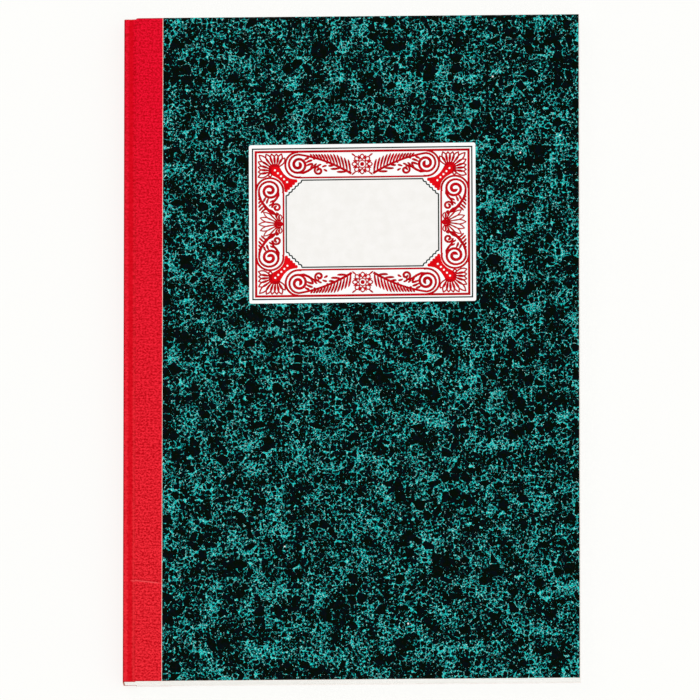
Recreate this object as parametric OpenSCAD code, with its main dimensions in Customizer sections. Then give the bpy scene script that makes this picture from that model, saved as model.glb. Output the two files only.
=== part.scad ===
// A quarter-bound ledger, cut flush: thin sewn leaves between two stiff boards, a strip of
// book cloth round the spine, marbled paper on the sides and a printed label on the front.
// It lies closed on its back cover. X runs from spine to fore-edge, Y from tail to head, Z up.

/* [Book] */
// Width of the closed book, from the spine to the fore-edge
book_w = 212; // [190:1:280]
// Height of the closed book, from the tail to the head
book_h = 315; // [260:1:400]

/* [Leaves] */
// Thickness of all the ruled leaves, pressed together
leaves_t = 7.4; // [4:0.1:20]
// Number of sewn sections that the leaves are folded into
section_n = 7; // [4:1:12]
// How far each section's fold is rounded off at the spine
fold_depth = 0.3; // [0.1:0.05:0.45]
// Thickness of the endpapers, each a flyleaf and a pastedown
endpaper_t = 0.2; // [0.15:0.05:0.3]

/* [Sewing] */
// Number of sewing stations along the spine
station_n = 6; // [4:1:10]
// Distance from head and tail to the nearest station
station_end = 20; // [10:1:50]
// Diameter of the sewing thread
thread_d = 0.6; // [0.4:0.05:0.8]
// Room round the thread in its saw cut
thread_gap = 0.05; // [0.02:0.01:0.1]

/* [Spine layers] */
// Thickness of the mull, the open gauze glued over the spine
mull_t = 0.2; // [0.1:0.05:0.3]
// Distance that the mull stops short of head and tail
mull_end = 8; // [2:1:25]
// Width of mull glued to each board
mull_reach = 18; // [8:1:40]
// Thickness of the paper liner on the mull
liner_t = 0.2; // [0.1:0.05:0.3]
// Thickness of the book cloth
cloth_t = 0.3; // [0.2:0.05:0.5]

/* [Covers] */
// Thickness of the boards
board_t = 2; // [1.4:0.1:3]
// Distance from the spine to the inner edge of the boards
joint_w = 6; // [4:0.5:10]
// Clearance between a turning cover and the cloth of the spine
hinge_gap = 0.25; // [0.2:0.05:0.35]
// Width of cloth that shows on each cover
cloth_show = 18.2; // [14:0.1:40]
// Width of cloth hidden under the cover paper
cloth_lap = 4; // [2:0.5:10]
// Thickness of the cover paper
paper_t = 0.15; // [0.1:0.05:0.25]

/* [Marbling] */
// Spacing of the marbled flecks
fleck_pitch = 15; // [11:0.5:20]
// Longest fleck
fleck_len = 9; // [5:0.5:10]
// Widest fleck
fleck_w = 1.1; // [0.5:0.1:2]
// Clear border between the flecks and the edges of the paper
fleck_edge = 1; // [0.5:0.5:5]

/* [Label] */
// Width of the label
label_w = 105.5; // [95:0.5:140]
// Height of the label
label_h = 75.4; // [68:0.2:100]
// Thickness of the label
label_t = 0.12; // [0.08:0.01:0.2]
// Radius of the label's corners
label_r = 1; // [0.5:0.1:3]
// Middle of the label, from the middle of the book toward the fore-edge
label_x = 5.2; // [-5:0.1:15]
// Middle of the label, from the middle of the book toward the head
label_y = 58.8; // [0:0.1:80]
// How far the label was pasted out of square, in degrees
label_turn = 0.25; // [-2:0.05:2]

/* [Print] */
// Thickness that the printed fields stand up by
ink_t = 0.03; // [0.02:0.01:0.05]
// Inset of the outer dark line from the label's edge
outer_dark_in = 1.9; // [1:0.1:2.2]
// Inset of the outer red line
outer_red_in = 3; // [2.8:0.1:3.2]
// Width of the outer red line
outer_red_w = 0.6; // [0.3:0.1:0.7]
// Inset of the inner red line
inner_red_in = 15.6; // [15.4:0.1:16]
// Inset of the inner dark line
inner_dark_in = 16.8; // [16.6:0.1:18]
// Width of the fine lines
line_w = 0.35; // [0.2:0.05:0.5]
// Size of the scalloped notch in each corner of the writing panel
notch = 7; // [5:0.5:9]
// Outer radius of the scrolls in the border
scroll_r = 5.5; // [4:0.1:5.6]
// Width of the scrolls' stroke at the eye
scroll_w = 1.3; // [0.8:0.1:1.5]
// Width of the scrolls' stroke at its outer end, and of the stems
scroll_tip_w = 0.6; // [0.4:0.1:0.8]
// Longest of the small leaves in the border
leaf_len = 4.4; // [3:0.1:5]
// Width of the small leaves in the border
leaf_w = 1.1; // [0.6:0.1:1.2]
// Clear space between the leaves and the lines of the border
leaf_gap = 0.5; // [0.3:0.1:0.8]
// Outer radius of the rosettes in the middle of the long sides
rosette_r = 4.6; // [3.5:0.1:5.4]

/* [Hidden] */
$fn = 32;

// Heights, with the book lying on its back cover
cover_t = paper_t + board_t + endpaper_t;
book_t = 2 * (cover_t + endpaper_t) + leaves_t;
front_fold_z = book_t - cover_t;
back_fold_z = cover_t;
leaves_z = back_fold_z + endpaper_t;
section_t = leaves_t / section_n;

// Distances from the spine: the fold that a cover turns on, and the start of its own layers
fold_u = cloth_t + liner_t + mull_t;
cover_u = 2 * fold_u + hinge_gap;
mull_edge_u = joint_w + mull_reach;
cloth_edge_u = cloth_show + cloth_lap;

// Points along the rounded fold of each section
fold_steps = 6;

// Printed border: middle of the band, and how far a scroll sits along it from the corner
fan_r = 1.6;
band_mid = (outer_red_in + outer_red_w + inner_red_in) / 2;
scroll_along = band_mid + sqrt(2) * (scroll_r + 1.5 * fan_r + 2 * leaf_gap);
scroll_turns = 2.1;
scroll_eye_r = 0.9;
stem_swing = 0.72;
lobe_r = notch / 3;
leaf_pitch = 1.9 * leaf_w;
leaf_slant = 42;
bead_r = 0.45;
GREEN_BLACK = [0.05, 0.10, 0.08];
CLOTH_RED = [0.88, 0.12, 0.18];
INK_RED = [0.84, 0.07, 0.10];
GAUZE = [0.90, 0.87, 0.78];
ENDPAPER = [0.95, 0.94, 0.90];

// Extrude a section drawn in X and Z, centred along Y, with X counted from the spine
module along_book(length) {
    translate([-book_w / 2, 0, 0])
        rotate([90, 0, 0])
            linear_extrude(height = length, center = true)
                children();
}

// Turn a front piece over into the matching back piece
module at_back() {
    translate([0, 0, book_t])
        mirror([0, 0, 1])
            children();
}

// A flat layer between two distances from the spine and two heights
module layer(u0, u1, z0, z1, length) {
    along_book(length)
        translate([u0, z0])
            square([u1 - u0, z1 - z0]);
}

// A quarter ring in X and Z round the fold of the front cover
module fold_wrap(r_out, r_in) {
    translate([fold_u, front_fold_z])
        intersection() {
            difference() {
                circle(r = r_out);
                if (r_in > 0) {
                    circle(r = r_in);
                }
            }
            translate([-r_out, 0])
                square(r_out);
        }
}

// Leaves, one block with the folds of its sections rounded at the spine
module pages() {
    folds = [for (s = [0:section_n - 1], k = [0:fold_steps - 1])
        [fold_u + fold_depth * (1 - sin(180 * k / fold_steps)),
         leaves_z + (s + k / fold_steps) * section_t]];
    color("ivory")
        difference() {
            along_book(book_h)
                polygon(concat(folds, [
                    [fold_u + fold_depth, leaves_z + leaves_t],
                    [book_w, leaves_z + leaves_t],
                    [book_w, leaves_z]
                ]));
            for (y = stations()) {
                thread_cut(y);
            }
        }
}

// Places of the sewing stations along the spine
function stations() = [for (i = [0:station_n - 1])
    -book_h / 2 + station_end + i * (book_h - 2 * station_end) / (station_n - 1)];

// Saw cut across the folds, for one station's thread
module thread_cut(y) {
    cut = thread_d + thread_gap;
    translate([fold_u - book_w / 2, y - cut / 2 - thread_gap / 2, leaves_z - 1])
        cube([cut, cut + thread_gap, leaves_t + 2]);
}

module sewing_thread() {
    color("linen")
        for (y = stations()) {
            translate([fold_u - book_w / 2 + thread_d / 2, y, leaves_z])
                cylinder(d = thread_d, h = leaves_t);
        }
}

// Gauze on the spine, carried round both folds
module spine_mull() {
    color(GAUZE) {
        layer(fold_u - mull_t, fold_u, back_fold_z, front_fold_z, book_h - 2 * mull_end);
        along_book(book_h - 2 * mull_end)
            fold_wrap(mull_t, 0);
        at_back()
            along_book(book_h - 2 * mull_end)
                fold_wrap(mull_t, 0);
    }
}

module spine_liner() {
    color("burlywood")
        layer(cloth_t, cloth_t + liner_t, back_fold_z, front_fold_z, book_h);
}

// Cloth on the spine, carried round both folds
module spine_cloth() {
    color(CLOTH_RED) {
        layer(0, cloth_t, back_fold_z, front_fold_z, book_h);
        along_book(book_h)
            fold_wrap(fold_u, fold_u - cloth_t);
        at_back()
            along_book(book_h)
                fold_wrap(fold_u, fold_u - cloth_t);
    }
}

module flyleaf() {
    color(ENDPAPER)
        layer(fold_u, book_w, front_fold_z - endpaper_t, front_fold_z, book_h);
}

module pastedown() {
    color(ENDPAPER)
        layer(cover_u, book_w, front_fold_z, front_fold_z + endpaper_t, book_h);
}

// Mull across the joint and into the inside of the board
module cover_mull() {
    color(GAUZE)
        layer(cover_u, mull_edge_u, front_fold_z + endpaper_t,
              front_fold_z + endpaper_t + mull_t, book_h - 2 * mull_end);
}

// Board, pressed thinner where the cloth and the mull lie on it
module board() {
    color("darkgray")
        difference() {
            layer(joint_w, book_w, front_fold_z + endpaper_t, book_t - paper_t, book_h);
            layer(joint_w - 1, cloth_edge_u, book_t - paper_t - cloth_t, book_t, book_h + 2);
            layer(joint_w - 1, mull_edge_u, front_fold_z,
                  front_fold_z + endpaper_t + mull_t, book_h - 2 * mull_end);
        }
}

// Cloth through the groove of the joint, up the board's inner edge and over its face
module cover_cloth() {
    strip_z = front_fold_z + endpaper_t + mull_t;
    top_z = book_t - paper_t;
    color(CLOTH_RED)
        along_book(book_h)
            polygon(concat(
                [[cover_u, strip_z],
                 [joint_w, strip_z],
                 [joint_w, top_z - cloth_t],
                 [cloth_edge_u, top_z - cloth_t],
                 [cloth_edge_u, top_z]],
                [for (a = [90:22.5:180])
                    [joint_w + cloth_t * cos(a), top_z - cloth_t + cloth_t * sin(a)]],
                [[joint_w - cloth_t, strip_z + cloth_t],
                 [cover_u, strip_z + cloth_t]]
            ));
}

// Cover paper, lapped over the edge of the cloth
module marbled_paper() {
    color(GREEN_BLACK)
        layer(cloth_show, book_w, book_t - paper_t, book_t, book_h);
}

// A leaf along X, wid across at its widest, its middle carried sideways by bend
function leaf(len, wid, bend, n) = concat(
    [for (i = [0:n]) [len * i / n, bend * sin(180 * i / n) - wid / 2 * sin(180 * i / n)]],
    [for (i = [n - 1:-1:1]) [len * i / n, bend * sin(180 * i / n) + wid / 2 * sin(180 * i / n)]]
);

// Light veins of the marbling, as bent flecks that keep clear of each other and of the label
module front_marbling() {
    span_x = book_w - cloth_show - 2 * fleck_edge;
    span_y = book_h - 2 * fleck_edge;
    nx = floor(span_x / fleck_pitch);
    ny = floor(span_y / fleck_pitch);
    room = (fleck_pitch - fleck_len) / 2 - 0.5;
    keep_x = label_w / 2 + fleck_len / 2 + 2;
    keep_y = label_h / 2 + fleck_len / 2 + 2;
    color("mediumaquamarine")
        for (i = [0:nx - 1], j = [0:ny - 1]) {
            r = rands(0, 1, 6, 17 + i + nx * j);
            x = cloth_show - book_w / 2 + fleck_edge + (i + 0.5) * span_x / nx + room * (2 * r[0] - 1);
            y = fleck_edge - book_h / 2 + (j + 0.5) * span_y / ny + room * (2 * r[1] - 1);
            len = fleck_len * (0.5 + 0.5 * r[2]);
            wid = fleck_w * (0.4 + 0.6 * r[3]);
            if (abs(x - label_x) > keep_x || abs(y - label_y) > keep_y) {
                translate([x, y, book_t])
                    rotate([0, 0, 360 * r[4]])
                        translate([-len / 2, 0, 0])
                            linear_extrude(height = ink_t)
                                polygon(leaf(len, wid, fleck_w * (2 * r[5] - 1), 3));
            }
        }
}

// Place a flat piece on the label, raised above the cover by z
module on_cover(z) {
    translate([label_x, label_y, book_t + z])
        rotate([0, 0, label_turn])
            children();
}

module label() {
    color("white")
        on_cover(0)
            linear_extrude(height = label_t)
                union() {
                    square([label_w, label_h - 2 * label_r], center = true);
                    square([label_w - 2 * label_r, label_h], center = true);
                    for (sx = [-1, 1], sy = [-1, 1]) {
                        translate([sx * (label_w / 2 - label_r), sy * (label_h / 2 - label_r)])
                            circle(r = label_r);
                    }
                }
}

// Repeat a quarter of the label's print, drawn from a corner inward, in all four corners
module four_quarters() {
    for (mx = [0, 1], my = [0, 1]) {
        mirror([mx, 0])
            mirror([0, my])
                translate([-label_w / 2, -label_h / 2])
                    children();
    }
}

// Three round lobes across a corner of the writing panel, grown by some amount
module notch_lobes(grow) {
    lobe_at = notch - lobe_r;
    mid_at = 0.72 * lobe_at;
    translate([grow, grow] * (grow < 0 ? 1 : 0))
        square(mid_at);
    for (p = [[lobe_at, 0], [mid_at, mid_at], [0, lobe_at]]) {
        translate(p)
            circle(r = lobe_r + grow, $fn = 12);
    }
}

// Outline of the writing panel: a rectangle with the lobes cut from each corner
module panel_outline(inset) {
    difference() {
        square([label_w - 2 * (inner_dark_in + inset), label_h - 2 * (inner_dark_in + inset)],
               center = true);
        four_quarters()
            translate([inner_dark_in, inner_dark_in])
                notch_lobes(inset);
    }
}

module label_panel() {
    color("whitesmoke")
        on_cover(label_t)
            linear_extrude(height = ink_t)
                panel_outline(line_w);
}

// A thin frame that follows the label's edge
module frame_line(inset, w) {
    difference() {
        square([label_w - 2 * inset, label_h - 2 * inset], center = true);
        square([label_w - 2 * (inset + w), label_h - 2 * (inset + w)], center = true);
    }
}

module label_keylines() {
    color(GREEN_BLACK)
        on_cover(label_t) {
            linear_extrude(height = ink_t)
                frame_line(outer_dark_in, line_w);
            linear_extrude(height = ink_t)
                difference() {
                    panel_outline(0);
                    panel_outline(line_w);
                }
        }
}

// A stroke that thins as it winds out from its eye, and ends heading along X on the -Y side
function scroll(n) =
    let (
        r_in = scroll_eye_r + 0.35 * scroll_w,
        r_out = scroll_r - scroll_tip_w / 2,
        edge = function (t, side)
            let (
                a = 270 - 360 * scroll_turns * (1 - t),
                r = r_in + (r_out - r_in) * t + side * (scroll_w + (scroll_tip_w - scroll_w) * t) / 2
            )
            [r * cos(a), r * sin(a)]
    )
    concat([for (i = [0:n]) edge(i / n, 1)], [for (i = [n:-1:0]) edge(i / n, -1)]);

// Middle of the stem that leaves a scroll and swings across the band, s from 0 to 1
function stem_at(s, length) =
    [s * length, (scroll_r - scroll_tip_w / 2) * (stem_swing * (1 - cos(180 * s)) - 1)];

// Direction of the stem
function stem_angle(s, length) =
    atan2((scroll_r - scroll_tip_w / 2) * stem_swing * PI * sin(180 * s), length);

// A scroll, its stem and the leaves on both sides of the stem
module branch(length) {
    leafy = length - 0.6 * leaf_len;
    n = floor(leafy / leaf_pitch);
    room_out = band_mid - outer_red_in - outer_red_w - leaf_gap;
    room_in = inner_red_in - band_mid - leaf_gap;
    polygon(scroll(22));
    circle(r = scroll_eye_r, $fn = 12);
    polygon(concat(
        [for (i = [0:8]) stem_at(i / 8, length) - [0, scroll_tip_w / 2]],
        [for (i = [8:-1:0]) stem_at(i / 8, length) + [0, scroll_tip_w / 2]]
    ));
    for (k = [1:n], side = [-1, 1]) {
        s = k / n * leafy / length;
        at = stem_at(s, length);
        slant = stem_angle(s, length) + side * leaf_slant;
        room = side < 0 ? room_out + at[1] : room_in - at[1];
        len = min(leaf_len, room / max(0.2, abs(sin(slant))));
        if (len > 2 * leaf_w && (side < 0 || at[0] > scroll_r)) {
            translate(at + [0, side * (scroll_tip_w / 2 + leaf_gap / 4)])
                rotate(slant)
                    polygon(leaf(len, leaf_w, 0, 3));
        }
    }
}

// Lobed corner of the writing panel's frame, a beaded stem and a fan of leaves
module corner_leaf() {
    fan_at = (outer_red_in + outer_red_w + inner_red_in) / 2 + 0.6;
    stem_to = inner_dark_in + (notch - lobe_r) / 2;
    reach = (stem_to - fan_at) * sqrt(2);
    difference() {
        union() {
            translate([inner_dark_in, inner_dark_in])
                notch_lobes(inner_red_in - inner_dark_in);
            translate([fan_at, fan_at])
                rotate(45)
                    polygon([[0, -fan_r], [reach, -1.5 * fan_r], [reach, 1.5 * fan_r], [0, fan_r]]);
            translate([fan_at, fan_at])
                circle(r = fan_r + 0.5, $fn = 12);
        }
        for (k = [0:4]) {
            translate([fan_at, fan_at] + [1, 1] * (k + 0.6) * reach / 5.2 / sqrt(2))
                circle(r = bead_r, $fn = 8);
        }
    }
    for (k = [-4:4]) {
        a = 225 + 19 * k;
        len = (fan_at - outer_red_in - outer_red_w - leaf_gap) / max(abs(cos(a)), abs(sin(a)));
        translate([fan_at, fan_at])
            rotate(a)
                translate([fan_r + 0.7, 0])
                    polygon(leaf(min(len, 1.2 * leaf_len + fan_r) - fan_r - 0.7, leaf_w, 0, 3));
    }
}

// Eight petals round a button
module rosette() {
    circle(r = 1, $fn = 12);
    for (k = [0:7]) {
        rotate(45 * k)
            translate([1.4, 0])
                polygon(leaf(rosette_r - 1.4, 1.3 * leaf_w, 0, 3));
    }
}

// One quarter of the border, drawn from the label's corner with X and Y pointing inward
module border_quarter() {
    corner_leaf();
    translate([scroll_along, band_mid])
        branch(label_w / 2 - scroll_along - rosette_r - leaf_gap);
    mirror([1, -1])
        translate([scroll_along, band_mid])
            branch(label_h / 2 - scroll_along - leaf_gap);
}

module label_ornament() {
    color(INK_RED)
        on_cover(label_t)
            linear_extrude(height = ink_t) {
                frame_line(outer_red_in, outer_red_w);
                frame_line(inner_red_in, line_w);
                four_quarters()
                    border_quarter();
                for (sy = [-1, 1]) {
                    translate([0, sy * (label_h / 2 - band_mid)])
                        rosette();
                }
            }
}

pages();
sewing_thread();
spine_mull();
spine_liner();
spine_cloth();
flyleaf();  // front_flyleaf
at_back() flyleaf();  // back_flyleaf
board();  // front_board
cover_mull();  // front_mull
pastedown();  // front_pastedown
cover_cloth();  // front_cloth
marbled_paper();  // front_marbled_paper
front_marbling();
label();
label_panel();
label_ornament();
label_keylines();
at_back() board();  // back_board
at_back() cover_mull();  // back_mull
at_back() pastedown();  // back_pastedown
at_back() cover_cloth();  // back_cloth
at_back() marbled_paper();  // back_marbled_paper
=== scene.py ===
import math
import random
import bpy
import bmesh
from mathutils import Vector, Matrix


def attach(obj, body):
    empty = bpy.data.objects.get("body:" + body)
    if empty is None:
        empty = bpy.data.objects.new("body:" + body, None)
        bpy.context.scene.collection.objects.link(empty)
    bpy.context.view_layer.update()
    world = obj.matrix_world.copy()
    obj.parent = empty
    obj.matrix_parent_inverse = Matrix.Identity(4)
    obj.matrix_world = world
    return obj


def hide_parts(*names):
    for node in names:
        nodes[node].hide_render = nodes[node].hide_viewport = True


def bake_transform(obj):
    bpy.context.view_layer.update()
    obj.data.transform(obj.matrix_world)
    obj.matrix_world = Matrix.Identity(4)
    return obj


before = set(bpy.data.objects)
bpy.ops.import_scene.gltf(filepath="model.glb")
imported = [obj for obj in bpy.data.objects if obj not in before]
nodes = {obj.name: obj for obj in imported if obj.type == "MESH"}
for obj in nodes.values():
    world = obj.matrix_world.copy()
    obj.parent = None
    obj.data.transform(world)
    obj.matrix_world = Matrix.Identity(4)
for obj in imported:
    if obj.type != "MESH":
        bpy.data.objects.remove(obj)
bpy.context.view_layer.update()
print("frame loaded:", len(nodes), "CAD nodes")

mm = 0.001
weldReach = 0.002 * mm
spineX = -106.0  # outer face of the spine cloth, in mm
random.seed(31)

# the closed book, in mm
bookSet = {
    "halfHeight": 157.5,
    "foreEdge": 106.0,
    "coverTop": 12.5,
    "middle": 6.25,
    "frontHinge": 10.15,
    "backHinge": 2.35,
}


# camera, fitted to the edges of the book
cameraSet = {
    "lean": 12.32,  # degrees toward the tail
    "swing": 11.04,  # degrees round toward the fore-edge
    "roll": 0.019,
    "distance": 10.473,
    "aimRight": 0.000562,
    "aimUp": 0.001496,
    "lens": 1159.7,
}


def makeCamera():
    s = cameraSet
    lean, swing, roll = [math.radians(s[key]) for key in ("lean", "swing", "roll")]
    back = Vector((math.sin(lean) * math.sin(swing), -math.sin(lean) * math.cos(swing), math.cos(lean)))
    right = Vector((0, 1, 0)).cross(back).normalized()
    up = back.cross(right)
    camRight = math.cos(roll) * right + math.sin(roll) * up
    camUp = -math.sin(roll) * right + math.cos(roll) * up
    place = Vector((0, 0, bookSet["coverTop"] * mm)) + back * s["distance"]
    place -= camRight * s["aimRight"] + camUp * s["aimUp"]
    data = bpy.data.cameras.new("camera")
    data.sensor_width = 36
    data.lens = s["lens"]
    data.clip_start = 0.1
    data.clip_end = 60
    cam = newObject("camera", data)
    turn = Matrix((camRight, camUp, back)).transposed().to_4x4()
    cam.matrix_world = Matrix.Translation(place) @ turn
    bpy.context.scene.camera = cam


# small helpers for modelling
def clearSelection():
    if bpy.context.object and bpy.context.object.mode != "OBJECT":
        bpy.ops.object.mode_set(mode="OBJECT")
    bpy.ops.object.select_all(action="DESELECT")


def activate(piece):
    clearSelection()
    piece.select_set(True)
    bpy.context.view_layer.objects.active = piece


def openEdit(piece):
    activate(piece)
    bpy.ops.object.mode_set(mode="EDIT")


def closeEdit():
    bpy.ops.object.mode_set(mode="OBJECT")


def giveName(piece, name):
    piece.name = name
    piece.data.name = name


def newObject(name, data):
    piece = bpy.data.objects.new(name, data)
    bpy.context.scene.collection.objects.link(piece)
    return piece


def copyOf(piece):
    twin = piece.copy()
    twin.data = piece.data.copy()
    bpy.context.scene.collection.objects.link(twin)
    return twin


def joinParts(parts, name):
    clearSelection()
    for part in parts:
        part.select_set(True)
    bpy.context.view_layer.objects.active = parts[0]
    if len(parts) > 1:
        bpy.ops.object.join()
    giveName(parts[0], name)
    return parts[0]


def addLine(curve, points):
    # a straight-sided line through points in mm, with half its width at each
    line = curve.splines.new("POLY")
    line.points.add(len(points) - 1)
    for point, (x, y, half) in zip(line.points, points):
        point.co = (x * mm, y * mm, 0, 1)
        point.radius = half
    return line


def meshFromCurve(name, curve):
    activate(newObject(name, curve))
    bpy.ops.object.convert(target="MESH")
    return bpy.context.object


def settle(name, scale):
    # names and sizes the shape that was just added
    piece = bpy.context.object
    giveName(piece, name)
    piece.scale = scale
    bpy.ops.object.transform_apply(location=True, rotation=True, scale=True)
    return piece


def addSheet(name, x0, x1, half, z):
    # a flat plane between two edges and as far up as down, in mm
    clearSelection()
    bpy.ops.mesh.primitive_plane_add(size=1, location=((x0 + x1) / 2 * mm, 0, z * mm))
    return settle(name, ((x1 - x0) * mm, 2 * half * mm, 1))


def addBlock(name, low, high):
    # a box between two corners, in mm
    clearSelection()
    middle = [(a + b) / 2 * mm for a, b in zip(low, high)]
    bpy.ops.mesh.primitive_cube_add(size=1, location=middle)
    return settle(name, [(b - a) * mm for a, b in zip(low, high)])


def pick(piece, kind, passes):
    # in edit mode: selects the edges or the vertices that pass
    bpy.ops.mesh.select_mode(type=kind)
    bpy.ops.mesh.select_all(action="DESELECT")
    mesh = bmesh.from_edit_mesh(piece.data)
    for part in mesh.edges if kind == "EDGE" else mesh.verts:
        if passes(part):
            part.select = True
    mesh.select_flush_mode()
    bmesh.update_edit_mesh(piece.data)


def pickEdges(piece, test):
    # both ends have to pass the test, in mm
    pick(piece, "EDGE", lambda edge: all(test(v.co / mm) for v in edge.verts))


def pickVerts(piece, test):
    pick(piece, "VERT", lambda vert: test(vert.co / mm))


def near(a, b, slack=0.02):
    return abs(a - b) < slack


def extrudeBy(x, y, z):
    bpy.ops.mesh.extrude_region_move(TRANSFORM_OT_translate={"value": (x * mm, y * mm, z * mm)})


def moveBy(x, y, z):
    bpy.ops.transform.translate(value=(x * mm, y * mm, z * mm))


def extrudeAlong(piece, x, z, points, slack=0.02):
    # in edit mode: draws the edge at x, z out to each point in turn
    for nextX, nextZ in points:
        pickEdges(piece, lambda p: near(p.x, x, slack) and near(p.z, z, slack))
        extrudeBy(nextX - x, 0, nextZ - z)
        x, z = nextX, nextZ


def cutAt(axis, at):
    # in edit mode: a row of edges across the whole mesh
    place = [0, 0, 0]
    facing = [0, 0, 0]
    place[axis] = at * mm
    facing[axis] = 1
    bpy.ops.mesh.select_all(action="SELECT")
    bpy.ops.mesh.bisect(plane_co=place, plane_no=facing)


def thicken(piece, thickness):
    activate(piece)
    solid = piece.modifiers.new("thickness", "SOLIDIFY")
    solid.thickness = thickness * mm
    solid.offset = 0
    solid.use_even_offset = True
    bpy.ops.object.modifier_apply(modifier=solid.name)


def faceOut(piece, weld=True):
    openEdit(piece)
    bpy.ops.mesh.select_all(action="SELECT")
    if weld:
        bpy.ops.mesh.remove_doubles(threshold=weldReach)
    bpy.ops.mesh.normals_make_consistent(inside=False)
    closeEdit()


def smoothBy(piece, degrees):
    activate(piece)
    bpy.ops.object.shade_smooth_by_angle(angle=math.radians(degrees))


def mirrorBelow(piece, name):
    # a copy of a piece of the front cover, turned over for the back cover
    twin = copyOf(piece)
    giveName(twin, name)
    over = Matrix.Translation((0, 0, bookSet["coverTop"] * mm))
    twin.data.transform(over @ Matrix.Scale(-1, 4, (0, 0, 1)))
    faceOut(twin)
    return twin


def blendBoth(front, back):
    # bakes each piece's placement into its mesh
    ways = ((front, "front_cover", "frontHinge", 1), (back, "back_cover", "backHinge", -1))
    for piece, cover, hinge, way in ways:
        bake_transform(piece)


# nodes for the materials
def linear(red, green, blue):
    # a colour read in 0-255 as the scene's linear colour
    parts = []
    for part in (red, green, blue):
        c = part / 255
        parts.append(c / 12.92 if c <= 0.04045 else ((c + 0.055) / 1.055) ** 2.4)
    return (parts[0], parts[1], parts[2], 1.0)


def addNode(tree, kind, inputs=None, **settings):
    node = tree.nodes.new(kind)
    for key, value in settings.items():
        setattr(node, key, value)
    for key, value in (inputs or {}).items():
        if isinstance(value, bpy.types.NodeSocket):
            tree.links.new(value, node.inputs[key])
        else:
            node.inputs[key].default_value = value
    return node


def calc(tree, operation, a, b=None, c=None):
    inputs = {0: a}
    if b is not None:
        inputs[1] = b
    if c is not None:
        inputs[2] = c
    return addNode(tree, "ShaderNodeMath", inputs, operation=operation).outputs[0]


def times(tree, a, b):
    return calc(tree, "MULTIPLY", a, b)


def timesAdd(tree, a, b, c):
    return calc(tree, "MULTIPLY_ADD", a, b, c)


def larger(tree, a, b):
    return calc(tree, "MAXIMUM", a, b)


def vectorCalc(tree, operation, a, b):
    second = "Scale" if operation == "SCALE" else 1
    return addNode(tree, "ShaderNodeVectorMath", {0: a, second: b}, operation=operation)


def splitAxes(tree, place):
    return addNode(tree, "ShaderNodeSeparateXYZ", {0: place}).outputs


def fade(tree, value, low, high, toLow=0.0, toHigh=1.0, kind="SMOOTHSTEP"):
    inputs = {0: value, 1: low, 2: high, 3: toLow, 4: toHigh}
    return addNode(tree, "ShaderNodeMapRange", inputs, interpolation_type=kind).outputs[0]


def fadeStraight(tree, value, low, high, toLow=0.0, toHigh=1.0):
    return fade(tree, value, low, high, toLow, toHigh, "LINEAR")


def between(tree, value, band):
    # rises over the first two values of the band and falls over the last two
    rise = fadeStraight(tree, value, band[0], band[1])
    fall = fadeStraight(tree, value, band[2], band[3], 1.0, 0.0)
    return times(tree, rise, fall)


def blendColour(tree, amount, a, b):
    return addNode(tree, "ShaderNodeMix", {0: amount, 6: a, 7: b}, data_type="RGBA").outputs[2]


def inMillimetres(tree, scale=(1, 1, 1), turn=(0, 0, 0)):
    place = addNode(tree, "ShaderNodeTexCoord").outputs["Object"]
    scales = tuple(part / mm for part in scale)
    mapping = {"Vector": place, "Scale": scales, "Rotation": turn}
    return addNode(tree, "ShaderNodeMapping", mapping).outputs[0]


def cloud(tree, place, scale, detail=2.0, rough=0.5, kind="3D"):
    inputs = {"Vector": place, "Scale": scale, "Detail": detail, "Roughness": rough}
    return addNode(tree, "ShaderNodeTexNoise", inputs, noise_dimensions=kind).outputs["Fac"]


def flatCloud(tree, place, scale, detail=2.0, rough=0.5):
    return cloud(tree, place, scale, detail, rough, "2D")


def pushAbout(tree, place, scale, amount, kind="2D"):
    inputs = {"Vector": place, "Scale": scale, "Detail": 2.0}
    drift = addNode(tree, "ShaderNodeTexNoise", inputs, noise_dimensions=kind).outputs["Color"]
    centred = vectorCalc(tree, "SUBTRACT", drift, (0.5, 0.5, 0.5)).outputs[0]
    moved = vectorCalc(tree, "SCALE", centred, amount).outputs[0]
    return vectorCalc(tree, "ADD", place, moved).outputs[0]


def newMaterial(name, roughness, level=0.5):
    material = bpy.data.materials.new(name)
    material.use_nodes = True
    tree = material.node_tree
    shader = tree.nodes["Principled BSDF"]
    shader.inputs["Roughness"].default_value = roughness
    shader.inputs["Specular IOR Level"].default_value = level
    return material, tree, shader


def newGroup(name, inputs, outputs):
    tree = bpy.data.node_groups.new(name, "ShaderNodeTree")
    for label, kind, value in inputs:
        socket = tree.interface.new_socket(name=label, in_out="INPUT", socket_type=kind)
        if value is not None:
            socket.default_value = value
    for label, kind in outputs:
        tree.interface.new_socket(name=label, in_out="OUTPUT", socket_type=kind)
    start = tree.nodes.new("NodeGroupInput")
    end = tree.nodes.new("NodeGroupOutput")
    return tree, start, end


def placeGroup(tree, group, inputs):
    return addNode(tree, "ShaderNodeGroup", inputs, node_tree=group).outputs


def dressShader(tree, shader, colour, height, strength, distance):
    tree.links.new(colour, shader.inputs["Base Color"])
    inputs = {"Height": height, "Strength": strength, "Distance": distance}
    bump = addNode(tree, "ShaderNodeBump", inputs)
    tree.links.new(bump.outputs[0], shader.inputs["Normal"])


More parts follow.
